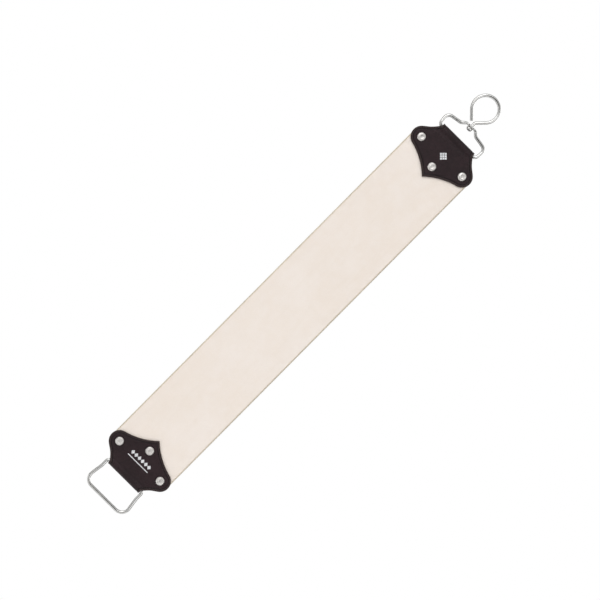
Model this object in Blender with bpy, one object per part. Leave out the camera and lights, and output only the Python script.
"""Hanging razor strop, modelled as it hangs from a hook.

A leather strap and a linen strap lie back to back. At each end three double-cap rivets hold
them between the two flaps of a chape, one piece of leather folded over a wire. The top wire is
a bail with a pierced eye at its centre, in which the shank of the hanging ring turns. The
bottom wire is the handle.

The origin is on the swivel's axis, level with the inside of the ring's top, where the hook
carries it. +Z is up, +X runs to the right across the strap, and the leather strap faces -Y.
All lengths are in metres.
"""

import math

import bmesh
import bpy
from mathutils import Vector

# Straps
STRAP_LENGTH = 0.4430
STRAP_WIDTH = 0.0750  # the linen strap, which is the wider of the two
LEATHER_INSET = 0.0010  # each edge of the leather lies this far inside the linen's
LEATHER_THICKNESS = 0.0028
LINEN_THICKNESS = 0.0018

# Chapes
CHAPE_THICKNESS = 0.0016
FOLD_WIDTH = 0.0416
NECK_DROP = 0.0037  # from the fold's crown to where the sides flare
NECK_RADIUS = 0.0015
EAR_RADIUS = 0.0106
EAR_PROUD = 0.0007  # an ear stands this far past the linen's edge
TOP_EAR_DROP = 0.0250  # from the crown to the ear rivets
BOTTOM_EAR_DROP = 0.0235
TIP_RIVET_DROP = 0.0137  # from the ear rivets to the tip rivet
TIP_DROP = 0.0135  # from the tip rivet to the point
FLANK_RADIUS = 0.0680  # the hollow edge between an ear and the point
STRAP_END_DROP = 0.0104  # from the crown to the straps' ends

# Rivets
CAP_DIAMETER = 0.0085
CAP_RIM = 0.0004
CAP_HEIGHT = 0.0014
POST_DIAMETER = 0.0030
SOCKET_DEPTH = 0.0007  # of the blind socket in a front cap that takes the post

# Wires
WIRE_DIAMETER = 0.0034
BUTT_GAP = 0.0014  # between the two ends of a wire, hidden in its fold
RING_RADIUS = 0.0134  # of the wire's centre line
RING_OFFSET = 0.0023  # the ring's centre lies this far left of the shank
RING_LEG_ANGLE = math.radians(44)  # between a leg and the shank's axis
RING_END_SPACE = 0.0024  # from the shank to the middle of the ring's free end
RING_BEND_RADIUS = 0.0026
SHANK_LENGTH = 0.0052  # from the bend to the middle of the bail's eye
BUTTON_LIP = 0.0014  # how far the button reaches past the eye's hole
BUTTON_HEIGHT = 0.0032
EYE_WALL = 0.0018  # from the eye's hole to its rim
EYE_THICKNESS = 0.0022
BAIL_HEIGHT = 0.0195  # from the bar in the fold to the eye
BAIL_SIDE_SPACE = 0.0023  # between the fold and an arm, halfway up
BAIL_SPLAY = 0.0006  # how far an arm leans outwards, from halfway to either end
BAIL_ELBOW_RADIUS = 0.0042
BAIL_SHOULDER_RADIUS = 0.0055
BAIL_SHOULDER = 0.0131  # from the bar to the outer end of a shoulder
BAIL_SHOULDER_RISE = 0.0026
BAIL_THROAT_SPACE = 0.0064  # from the eye's rim to the inner end of a shoulder
BAIL_THROAT_RADIUS = 0.0040
BAIL_CROWN_SPACE = 0.0018  # from the eye's rim to the end of the raised middle
BAIL_CROWN_RADIUS = 0.0030
HANDLE_DEPTH = 0.0304
HANDLE_SIDE_SPACE = 0.0008  # between the fold and a leg
HANDLE_SPREAD = 0.0032  # how far a leg leans outwards on its way to the grip
HANDLE_LEG = 0.0090  # straight part of a leg, from the bar
HANDLE_CORNER_RADIUS = 0.0085
HANDLE_ELBOW_RADIUS = 0.0028
HANDLE_LEG_RADIUS = 0.0100  # of the slight bend where a leg starts to spread

# Clearances
LAYER_GAP = 0.0003  # between pieces that lie on each other
RUNNING_GAP = 0.0003  # between a wire and what turns on it

# Facets
FOLD_STEPS = 6  # in each quarter of a fold
CORNER_STEPS = 5
RING_STEPS = 30
TURNED_STEPS = 16
WIRE_SMOOTHNESS = 3
SHARP_ANGLE = math.radians(40)
MERGE = 1e-6

# Worked out from the sizes above
WIRE_RADIUS = WIRE_DIAMETER / 2
STACK = LEATHER_THICKNESS + LINEN_THICKNESS + 3 * LAYER_GAP
FOLD_INNER = max(STACK / 2, WIRE_RADIUS + RUNNING_GAP)
FOLD_OUTER = FOLD_INNER + CHAPE_THICKNESS
FOLD_ARC = math.pi / 2 * (FOLD_INNER + CHAPE_THICKNESS / 2)  # developed length of a quarter
BAR_DROP = CHAPE_THICKNESS + RUNNING_GAP + WIRE_RADIUS  # from a crown to its wire's centre
EAR_X = STRAP_WIDTH / 2 + EAR_PROUD - EAR_RADIUS
HOLE_RADIUS = POST_DIAMETER / 2 + LAYER_GAP
EYE_HOLE_RADIUS = WIRE_RADIUS + RUNNING_GAP
EYE_RADIUS = EYE_HOLE_RADIUS + EYE_WALL
BUTTON_RADIUS = EYE_HOLE_RADIUS + BUTTON_LIP

RING_Z = WIRE_RADIUS - RING_RADIUS
RING_BEND_Z = RING_Z - RING_RADIUS / math.sin(RING_LEG_ANGLE) + RING_OFFSET / math.tan(RING_LEG_ANGLE)
RING_END_X = -WIRE_RADIUS - RING_END_SPACE
EYE_Z = RING_BEND_Z - SHANK_LENGTH
TOP_BAR_Z = EYE_Z - BAIL_HEIGHT
TOP_CROWN_Z = TOP_BAR_Z + BAR_DROP
STRAP_TOP_Z = TOP_CROWN_Z - STRAP_END_DROP
STRAP_BOTTOM_Z = STRAP_TOP_Z - STRAP_LENGTH
BOTTOM_CROWN_Z = STRAP_BOTTOM_Z - STRAP_END_DROP
BOTTOM_BAR_Z = BOTTOM_CROWN_Z + BAR_DROP

TOP_EAR_Z = TOP_CROWN_Z - TOP_EAR_DROP
BOTTOM_EAR_Z = BOTTOM_CROWN_Z + BOTTOM_EAR_DROP


def clear_scene():
    for obj in list(bpy.data.objects):
        bpy.data.objects.remove(obj)


def material(name, colour, roughness, metallic=0.0):
    made = bpy.data.materials.new(name)
    made.use_nodes = True
    shader = made.node_tree.nodes["Principled BSDF"]
    shader.inputs["Base Color"].default_value = (*colour, 1.0)
    shader.inputs["Roughness"].default_value = roughness
    shader.inputs["Metallic"].default_value = metallic
    return made


def empty(name, z, parent=None):
    """An axis marker on the strop's centre line."""
    made = bpy.data.objects.new(name, None)
    made.empty_display_size = 0.01
    bpy.context.collection.objects.link(made)
    made.parent = parent
    made.location.z = z - (parent.matrix_world.translation.z if parent else 0.0)
    bpy.context.view_layer.update()
    return made


def add(name, mesh, finish, parent, place=(0.0, 0.0, 0.0)):
    """Links an object for the mesh, whose own coordinates start at place in the world."""
    if not mesh.materials:
        mesh.materials.append(finish)
    made = bpy.data.objects.new(name, mesh)
    bpy.context.collection.objects.link(made)
    made.parent = parent
    made.location = Vector(place) - parent.matrix_world.translation
    return made


def mesh_of(name, bm):
    bmesh.ops.recalc_face_normals(bm, faces=bm.faces)
    mesh = bpy.data.meshes.new(name)
    bm.to_mesh(mesh)
    bm.free()
    mesh.shade_smooth()
    mesh.set_sharp_from_angle(angle=SHARP_ANGLE)
    return mesh


def hide(cutter):
    cutter.hide_render = True
    cutter.display_type = "WIRE"


def boolean(obj, tool, operation):
    modifier = obj.modifiers.new(f"{operation.lower()} {tool.name}", "BOOLEAN")
    modifier.operation = operation
    modifier.object = tool


def arc(centre, radius, start, stop, steps):
    """Points on a circle in the plane of the strop, both ends included; angles in radians from +X."""
    angles = [start + (stop - start) * step / steps for step in range(steps + 1)]
    return [(centre[0] + radius * math.cos(a), centre[1] + radius * math.sin(a)) for a in angles]


def rounded(corners):
    """The corners' path, each given as (x, z, radius), with an arc of that radius at each inner corner."""
    points = [corners[0][:2]]
    for before, (x, z, radius), after in zip(corners, corners[1:], corners[2:]):
        corner = Vector((x, z))
        back = (Vector(before[:2]) - corner).normalized()
        ahead = (Vector(after[:2]) - corner).normalized()
        half = back.angle(ahead) / 2
        bisector = (back + ahead).normalized()
        centre = corner + bisector * radius / math.sin(half)
        start = corner + back * radius / math.tan(half) - centre
        stop = corner + ahead * radius / math.tan(half) - centre
        turn = start.angle_signed(stop)  # clockwise is positive
        angle = math.atan2(start.y, start.x)
        points += arc(centre, radius, angle, angle - turn, CORNER_STEPS)
    return points + [corners[-1][:2]]


def with_points_between(points, longest):
    """The same path, with its straight runs split into lengths of at most this."""
    split = [points[0]]
    for start, stop in zip(points, points[1:]):
        pieces = max(1, math.ceil(math.dist(start, stop) / longest - 1e-6))
        for piece in range(1, pieces + 1):
            x, z = Vector(start).lerp(Vector(stop), piece / pieces)
            split.append((x, z))
    return split


def wire_mesh(name, points, thinning=None):
    """A round wire along points (x, z). thinning gives the share of the full thickness at each point."""
    curve = bpy.data.curves.new(name, "CURVE")
    curve.dimensions = "3D"
    curve.bevel_depth = WIRE_RADIUS
    curve.bevel_resolution = WIRE_SMOOTHNESS
    curve.use_fill_caps = True
    spline = curve.splines.new("POLY")
    spline.points.add(len(points) - 1)
    for point, (x, z) in zip(spline.points, points):
        point.co = (x, 0.0, z, 1.0)
        point.radius = thinning(x, z) if thinning else 1.0
    guide = bpy.data.objects.new(name, curve)
    bpy.context.collection.objects.link(guide)
    bpy.context.view_layer.update()
    graph = bpy.context.evaluated_depsgraph_get()
    made = bpy.data.meshes.new_from_object(guide.evaluated_get(graph))
    bpy.data.objects.remove(guide)
    bm = bmesh.new()
    bm.from_mesh(made)
    bpy.data.meshes.remove(made)
    bmesh.ops.remove_doubles(bm, verts=bm.verts, dist=MERGE)
    return mesh_of(name, bm)


def turned_mesh(name, profile, axis):
    """A solid of revolution about the axis, from a profile (radius, height) that starts and ends on it."""
    axis = Vector(axis)
    out = axis.orthogonal().normalized()
    bm = bmesh.new()
    verts = [bm.verts.new(out * radius + axis * height) for radius, height in profile]
    edges = [bm.edges.new(pair) for pair in zip(verts, verts[1:])]
    bmesh.ops.spin(
        bm,
        geom=verts + edges,
        cent=(0, 0, 0),
        axis=axis,
        angle=2 * math.pi,
        steps=TURNED_STEPS,
        use_merge=True,
    )
    bmesh.ops.remove_doubles(bm, verts=bm.verts, dist=MERGE)
    return mesh_of(name, bm)


def plate_mesh(name, outline, front, thickness):
    """A flat plate with the outline (x, z), from y = front backwards."""
    bm = bmesh.new()
    face = bm.faces.new([bm.verts.new((x, front, z)) for x, z in outline])
    made = bmesh.ops.extrude_face_region(bm, geom=[face])["geom"]
    moved = [item for item in made if isinstance(item, bmesh.types.BMVert)]
    bmesh.ops.translate(bm, verts=moved, vec=(0, thickness, 0))
    return mesh_of(name, bm)


def rod(bm, centre, radius, length, axis):
    """Adds a closed round rod with its middle at centre."""
    turn = Vector((0, 0, 1)).rotation_difference(Vector(axis)).to_matrix().to_4x4()
    turn.translation = centre
    bmesh.ops.create_cone(
        bm,
        cap_ends=True,
        segments=TURNED_STEPS,
        radius1=radius,
        radius2=radius,
        depth=length,
        matrix=turn,
    )


def flare_angle(ear_drop):
    """The slope of a chape's straight side, from its neck to its ear, below the level."""
    across, down = EAR_X - FOLD_WIDTH / 2, ear_drop - NECK_DROP
    return math.atan2(down, across) - math.asin(EAR_RADIUS / math.hypot(across, down))


def flank_start(ear_drop):
    """The direction from an ear's centre to where the hollow edge starts, and that edge's centre."""
    ear = Vector((EAR_X, ear_drop))
    tip = Vector((0.0, ear_drop + TIP_RIVET_DROP + TIP_DROP))
    apart = (ear - tip).length
    along = (FLANK_RADIUS**2 - (FLANK_RADIUS + EAR_RADIUS) ** 2 + apart**2) / (2 * apart)
    aside = math.sqrt(FLANK_RADIUS**2 - along**2)
    towards = (ear - tip) / apart
    centre = tip + towards * along + Vector((-towards.y, towards.x)) * aside
    return (centre - ear).normalized(), centre


def chape_half(ear_drop):
    """The right edge of one flap, from its neck to its point, as (x, distance below the crown)."""
    flare = flare_angle(ear_drop)
    ear = (EAR_X, ear_drop)
    shoulder = flare - math.pi / 2
    leave, centre = flank_start(ear_drop)
    ear_arc = arc(ear, EAR_RADIUS, shoulder, math.atan2(leave.y, leave.x), 2 * CORNER_STEPS)
    neck = rounded(
        [
            (FOLD_WIDTH / 2, 0.0, 0.0),
            (FOLD_WIDTH / 2, NECK_DROP, NECK_RADIUS),
            (*ear_arc[0], 0.0),
        ]
    )
    tip = Vector((0.0, ear_drop + TIP_RIVET_DROP + TIP_DROP)) - centre
    start = -leave
    angle = math.atan2(start.y, start.x)
    turn = math.atan2(start.cross(tip), start.dot(tip))
    flank = arc(centre, FLANK_RADIUS, angle, angle + turn, CORNER_STEPS)
    return neck[1:-1] + ear_arc + flank[1:]


def bent(x, run, depth):
    """Where a point of the flat blank ends up.

    run is measured from the fold's middle, and depth from the leather's inside.
    """
    side = math.copysign(1.0, run)
    radius = FOLD_INNER + depth
    if abs(run) <= FOLD_ARC:
        angle = run / FOLD_ARC * math.pi / 2
        return Vector((x, -radius * math.sin(angle), radius * math.cos(angle) - FOLD_OUTER))
    return Vector((x, -side * radius, FOLD_ARC - abs(run) - FOLD_OUTER))


def run_of(drop):
    """The place along the flat blank of a point that ends up this far below the crown."""
    if drop >= FOLD_OUTER:
        return FOLD_ARC + drop - FOLD_OUTER
    return FOLD_ARC * math.acos(1 - drop / FOLD_OUTER) / (math.pi / 2)


def chape_mesh(name, ear_drop, up):
    """A chape folded from its flat blank, with its crown at z = 0.

    up is 1 where the crown is uppermost, and -1 where it hangs below.
    """
    front = [(x, run_of(drop)) for x, drop in chape_half(ear_drop)]
    right = [(x, -run) for x, run in reversed(front)] + front
    left = [(-x, run) for x, run in reversed(right[1:-1])]
    bm = bmesh.new()
    face = bm.faces.new([bm.verts.new((x, run, 0.0)) for x, run in right + left])
    made = bmesh.ops.extrude_face_region(bm, geom=[face])["geom"]
    moved = [item for item in made if isinstance(item, bmesh.types.BMVert)]
    bmesh.ops.translate(bm, verts=moved, vec=(0, 0, CHAPE_THICKNESS))
    for step in range(-FOLD_STEPS, FOLD_STEPS + 1):
        everything = bm.verts[:] + bm.edges[:] + bm.faces[:]
        crease = (0, FOLD_ARC * step / FOLD_STEPS, 0)
        bmesh.ops.bisect_plane(bm, geom=everything, dist=1e-7, plane_co=crease, plane_no=(0, 1, 0))
    for vert in bm.verts:
        vert.co = bent(*vert.co)
        vert.co.z *= up
    return mesh_of(name, bm)


def strap_end(half_width, ear_z, end_z, ear_drop):
    """The right edge of a strap's end, from its flat end to its side, inside the chape's outline."""
    up = math.copysign(1.0, end_z - ear_z)
    flare = flare_angle(ear_drop)
    corner = arc((EAR_X, 0.0), half_width - EAR_X, math.pi / 2 - flare, 0.0, CORNER_STEPS)
    corner = [(x, ear_z + up * z) for x, z in corner]
    run = (abs(end_z - ear_z) - abs(corner[0][1] - ear_z)) / math.tan(flare)
    return [(corner[0][0] - run, end_z)] + corner


def strap_outline(half_width):
    top = strap_end(half_width, TOP_EAR_Z, STRAP_TOP_Z, TOP_EAR_DROP)
    bottom = strap_end(half_width, BOTTOM_EAR_Z, STRAP_BOTTOM_Z, BOTTOM_EAR_DROP)
    right = top + bottom[::-1]
    return right + [(-x, z) for x, z in reversed(right)]


def rivet_places():
    """Each rivet's name and its (x, z)."""
    places = {}
    for end, ear_z, inwards in (("top", TOP_EAR_Z, -1), ("bottom", BOTTOM_EAR_Z, 1)):
        places[f"{end}_left"] = (-EAR_X, ear_z)
        places[f"{end}_right"] = (EAR_X, ear_z)
        places[f"{end}_tip"] = (0.0, ear_z + inwards * TIP_RIVET_DROP)
    return places


def cap_dome():
    """The outside of a rivet's cap, from its rim to its centre, as (radius, height)."""
    radius = CAP_DIAMETER / 2
    dome = [(1.0, 0.0), (0.92, 0.45), (0.78, 0.75), (0.55, 0.95), (0.35, 1.0), (0.0, 0.96)]
    return [(radius * out, CAP_RIM + (CAP_HEIGHT - CAP_RIM) * rise) for out, rise in dome]


def front_cap_mesh():
    socket = [(0.0, SOCKET_DEPTH), (HOLE_RADIUS, SOCKET_DEPTH), (HOLE_RADIUS, 0.0)]
    return turned_mesh("rivet_cap", socket + [(CAP_DIAMETER / 2, 0.0)] + cap_dome(), (0, -1, 0))


def post_mesh():
    """A post and the rear cap made in one with it, starting at the post's front end."""
    length = SOCKET_DEPTH - LAYER_GAP + 2 * (FOLD_OUTER + LAYER_GAP)
    shaft = [(0.0, 0.0), (POST_DIAMETER / 2, 0.0), (POST_DIAMETER / 2, length)]
    dome = [(radius, length + height) for radius, height in cap_dome()]
    return turned_mesh("rivet_post", shaft + [(CAP_DIAMETER / 2, length)] + dome, (0, 1, 0))


def ring_path():
    """From the button up the shank, round the ring, and down its free leg."""
    centre = (-RING_OFFSET, RING_Z)
    right = -RING_LEG_ANGLE
    left = math.pi + RING_LEG_ANGLE
    loop = arc(centre, RING_RADIUS, right, left, RING_STEPS)
    start = (0.0, EYE_Z - EYE_THICKNESS, 0.0)
    shank = rounded([start, (0.0, RING_BEND_Z, RING_BEND_RADIUS), (*loop[0], 0.0)])
    leg = (RING_END_X - loop[-1][0]) / math.sin(RING_LEG_ANGLE)
    end = (RING_END_X, loop[-1][1] - leg * math.cos(RING_LEG_ANGLE))
    return shank[:-1] + loop + [end]


def build_ring(finish, parent):
    ring = add("swivel_ring", wire_mesh("swivel_ring", ring_path()), finish, parent)
    shares = [(0.0, 0.0), (0.8, 0.0), (1.0, 0.22), (1.0, 0.5), (0.7, 0.88), (0.0, 1.0)]
    profile = [(BUTTON_RADIUS * out, BUTTON_HEIGHT * down) for out, down in shares]
    button = turned_mesh("button", profile, (0, 0, -1))
    seat = EYE_Z - EYE_THICKNESS / 2 - RUNNING_GAP
    tool = add("upset_button", button, finish, parent, (0.0, 0.0, seat))
    hide(tool)
    boolean(ring, tool, "UNION")


def bail_path():
    """From the butt in the fold, up one arm, over the eye at (0, 0), and down the other arm."""
    half = FOLD_WIDTH / 2 + BAIL_SIDE_SPACE + WIRE_RADIUS
    bar = -BAIL_HEIGHT
    shoulder = bar + BAIL_SHOULDER
    right = rounded(
        [
            (BUTT_GAP / 2, bar, 0.0),
            (half - BAIL_SPLAY, bar, BAIL_ELBOW_RADIUS),
            (half + BAIL_SPLAY, shoulder, BAIL_SHOULDER_RADIUS),
            (EYE_RADIUS + BAIL_THROAT_SPACE, shoulder + BAIL_SHOULDER_RISE, BAIL_THROAT_RADIUS),
            (EYE_RADIUS + BAIL_CROWN_SPACE, 0.0, BAIL_CROWN_RADIUS),
            (0.0, 0.0, 0.0),
        ]
    )
    return right[:-1] + [(-x, z) for x, z in reversed(right)]


def bail_thinning(x, z):
    """The wire is hammered down to the eye's thickness where it meets the eye."""
    if z < -2 * EYE_RADIUS:
        return 1.0
    share = min(1.0, max(0.0, abs(x) / EYE_RADIUS - 1.0))
    return EYE_THICKNESS / WIRE_DIAMETER * (1 - share) + share


def build_bail(finish, parent):
    path = with_points_between(bail_path(), EYE_RADIUS)
    wire = wire_mesh("top_bail", path, bail_thinning)
    bail = add("top_bail", wire, finish, parent, (0.0, 0.0, EYE_Z))
    for name, radius, length, operation in (
        ("bail_eye", EYE_RADIUS, EYE_THICKNESS, "UNION"),
        ("bail_eye_hole", EYE_HOLE_RADIUS, 2 * EYE_THICKNESS, "DIFFERENCE"),
    ):
        bm = bmesh.new()
        rod(bm, (0, 0, 0), radius, length, (0, 0, 1))
        tool = add(name, mesh_of(name, bm), finish, parent, (0.0, 0.0, EYE_Z))
        hide(tool)
        boolean(bail, tool, operation)


def build_handle(finish, parent):
    neck = FOLD_WIDTH / 2 + HANDLE_SIDE_SPACE + WIRE_RADIUS
    grip = neck + HANDLE_SPREAD
    right = rounded(
        [
            (BUTT_GAP / 2, 0.0, 0.0),
            (neck, 0.0, HANDLE_ELBOW_RADIUS),
            (neck, -HANDLE_LEG, HANDLE_LEG_RADIUS),
            (grip, -HANDLE_DEPTH, HANDLE_CORNER_RADIUS),
            (0.0, -HANDLE_DEPTH, 0.0),
        ]
    )
    path = right[:-1] + [(-x, z) for x, z in reversed(right[:-1])]
    add("handle_loop", wire_mesh("handle_loop", path), finish, parent, (0.0, 0.0, BOTTOM_BAR_Z))


def rivet_holes(end, parent):
    """A cutter with the three rivet holes of one end."""
    bm = bmesh.new()
    for name, (x, z) in rivet_places().items():
        if name.startswith(end):
            rod(bm, (x, 0.0, z), HOLE_RADIUS, 4 * FOLD_OUTER, (0, 1, 0))
    cutter = bpy.data.objects.new(f"{end}_rivet_holes", mesh_of(f"{end}_rivet_holes", bm))
    bpy.context.collection.objects.link(cutter)
    cutter.parent = parent
    cutter.location = -parent.matrix_world.translation
    hide(cutter)
    return cutter


def build_strop(finishes, parent):
    """Everything between the two wires: straps, chapes and rivets."""
    holes = {end: rivet_holes(end, parent) for end in ("top", "bottom")}
    front = -STACK / 2 + LAYER_GAP
    back = front + LEATHER_THICKNESS + LAYER_GAP
    for name, inset, y, thickness, finish in (
        ("leather_strap", LEATHER_INSET, front, LEATHER_THICKNESS, finishes["strap leather"]),
        ("linen_strap", 0.0, back, LINEN_THICKNESS, finishes["linen"]),
    ):
        mesh = plate_mesh(name, strap_outline(STRAP_WIDTH / 2 - inset), y, thickness)
        strap = add(name, mesh, finish, parent)
        boolean(strap, holes["top"], "DIFFERENCE")
        boolean(strap, holes["bottom"], "DIFFERENCE")
    for end, crown_z, ear_drop, up in (
        ("top", TOP_CROWN_Z, TOP_EAR_DROP, 1),
        ("bottom", BOTTOM_CROWN_Z, BOTTOM_EAR_DROP, -1),
    ):
        name = f"{end}_chape"
        mesh = chape_mesh(name, ear_drop, up)
        chape = add(name, mesh, finishes["chape leather"], parent, (0.0, 0.0, crown_z))
        boolean(chape, holes[end], "DIFFERENCE")
    cap, post = front_cap_mesh(), post_mesh()
    cap_y = -FOLD_OUTER - LAYER_GAP
    for name, (x, z) in rivet_places().items():
        add(f"{name}_rivet_cap", cap, finishes["nickel"], parent, (x, cap_y, z))
        add(f"{name}_rivet_post", post, finishes["nickel"], parent, (x, cap_y - SOCKET_DEPTH + LAYER_GAP, z))


def main():
    clear_scene()
    finishes = {
        "strap leather": material("strap leather", (0.84, 0.76, 0.68), 0.55),
        "linen": material("linen", (0.78, 0.76, 0.70), 0.85),
        "chape leather": material("chape leather", (0.030, 0.024, 0.026), 0.45),
        "nickel": material("nickel", (0.72, 0.70, 0.68), 0.28, 1.0),
        "bright wire": material("bright wire", (0.80, 0.80, 0.79), 0.12, 1.0),
    }
    hang_point = empty("hang_point", 0.0)
    swivel_axis = empty("swivel_axis", EYE_Z, hang_point)
    top_fold_axis = empty("top_fold_axis", TOP_BAR_Z, swivel_axis)
    bottom_fold_axis = empty("bottom_fold_axis", BOTTOM_BAR_Z, top_fold_axis)
    build_ring(finishes["bright wire"], hang_point)
    build_bail(finishes["bright wire"], swivel_axis)
    build_strop(finishes, top_fold_axis)
    build_handle(finishes["bright wire"], bottom_fold_axis)


main()
